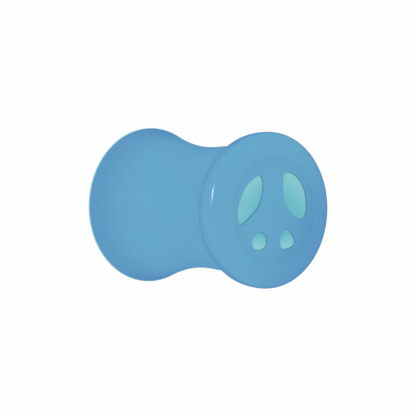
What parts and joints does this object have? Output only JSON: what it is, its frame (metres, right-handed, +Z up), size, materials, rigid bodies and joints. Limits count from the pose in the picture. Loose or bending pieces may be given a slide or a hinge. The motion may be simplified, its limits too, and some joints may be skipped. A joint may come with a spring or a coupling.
{
  "type": "paw washer cup",
  "caption": "Waisted paw washer cup with a lift-out liner showing through a print-shaped base, a bristle sleeve, and a splash guard with folding flaps.",
  "frame": {"origin": "on the cup's axis, in the plane the foot ring stands on", "axes": "+Z up the cup's axis towards the open mouth, +Y towards the big toe windows of the print in the base"},
  "size_m": [0.0992, 0.0992, 0.12],
  "materials": {
    "shell_blue": "glossy translucent moulding",
    "liner_cyan": "satin to glossy moulding",
    "bristle_silicone": "soft silicone, satin",
    "guard_cyan": "glossy moulding",
    "flap_silicone": "soft translucent silicone, satin",
    "seal_silicone": "soft silicone, satin"
  },
  "bodies": {
    "shell": {"outer_shell": "shell_blue"},
    "liner": {"wash_liner": "liner_cyan"},
    "insert": {"bristle_sleeve": "bristle_silicone", "floor_brush": "bristle_silicone"},
    "guard": {"guard_frame": "guard_cyan", "seal_ring": "seal_silicone", "membrane_rim": "flap_silicone", "clip_ring": "guard_cyan"},
    "flap_1": {"flap_1": "flap_silicone"},
    "flap_2": {"flap_2": "flap_silicone"},
    "flap_3": {"flap_3": "flap_silicone"},
    "flap_4": {"flap_4": "flap_silicone"},
    "flap_5": {"flap_5": "flap_silicone"},
    "flap_6": {"flap_6": "flap_silicone"},
    "flap_7": {"flap_7": "flap_silicone"},
    "flap_8": {"flap_8": "flap_silicone"}
  },
  "joints": [
    {"name": "liner_lift", "type": "slide", "parent": "shell", "child": "liner", "axis": [0, 0, 1], "range_m": [0, 0.125]},
    {"name": "insert_lift", "type": "slide", "parent": "liner", "child": "insert", "axis": [0, 0, 1], "range_m": [0, 0.12]},
    {"name": "guard_lift", "type": "slide", "parent": "insert", "child": "guard", "axis": [0, 0, 1], "range_m": [0, 0.05]},
    {"name": "flap_1_fold", "type": "hinge", "parent": "guard", "child": "flap_1", "pos_m": [0.03061, 0, 0.1097], "axis": [0, 1, 0], "range_deg": [-70, 45], "stiffness_Nm_per_rad": 0.012},
    {"name": "flap_2_fold", "type": "hinge", "parent": "guard", "child": "flap_2", "pos_m": [0.02164, 0.02164, 0.1097], "axis": [-0.7071, 0.7071, 0], "range_deg": [-70, 45], "stiffness_Nm_per_rad": 0.012},
    {"name": "flap_3_fold", "type": "hinge", "parent": "guard", "child": "flap_3", "pos_m": [0, 0.03061, 0.1097], "axis": [-1, 0, 0], "range_deg": [-70, 45], "stiffness_Nm_per_rad": 0.012},
    {"name": "flap_4_fold", "type": "hinge", "parent": "guard", "child": "flap_4", "pos_m": [-0.02164, 0.02164, 0.1097], "axis": [-0.7071, -0.7071, 0], "range_deg": [-70, 45], "stiffness_Nm_per_rad": 0.012},
    {"name": "flap_5_fold", "type": "hinge", "parent": "guard", "child": "flap_5", "pos_m": [-0.03061, 0, 0.1097], "axis": [0, -1, 0], "range_deg": [-70, 45], "stiffness_Nm_per_rad": 0.012},
    {"name": "flap_6_fold", "type": "hinge", "parent": "guard", "child": "flap_6", "pos_m": [-0.02164, -0.02164, 0.1097], "axis": [0.7071, -0.7071, 0], "range_deg": [-70, 45], "stiffness_Nm_per_rad": 0.012},
    {"name": "flap_7_fold", "type": "hinge", "parent": "guard", "child": "flap_7", "pos_m": [0, -0.03061, 0.1097], "axis": [1, 0, 0], "range_deg": [-70, 45], "stiffness_Nm_per_rad": 0.012},
    {"name": "flap_8_fold", "type": "hinge", "parent": "guard", "child": "flap_8", "pos_m": [0.02164, -0.02164, 0.1097], "axis": [0.7071, 0.7071, 0], "range_deg": [-70, 45], "stiffness_Nm_per_rad": 0.012}
  ],
  "couplings": [
    {"joint": "flap_2_fold", "follows": "flap_1_fold", "ratio": 1},
    {"joint": "flap_3_fold", "follows": "flap_1_fold", "ratio": 1},
    {"joint": "flap_4_fold", "follows": "flap_1_fold", "ratio": 1},
    {"joint": "flap_5_fold", "follows": "flap_1_fold", "ratio": 1},
    {"joint": "flap_6_fold", "follows": "flap_1_fold", "ratio": 1},
    {"joint": "flap_7_fold", "follows": "flap_1_fold", "ratio": 1},
    {"joint": "flap_8_fold", "follows": "flap_1_fold", "ratio": 1}
  ]
}
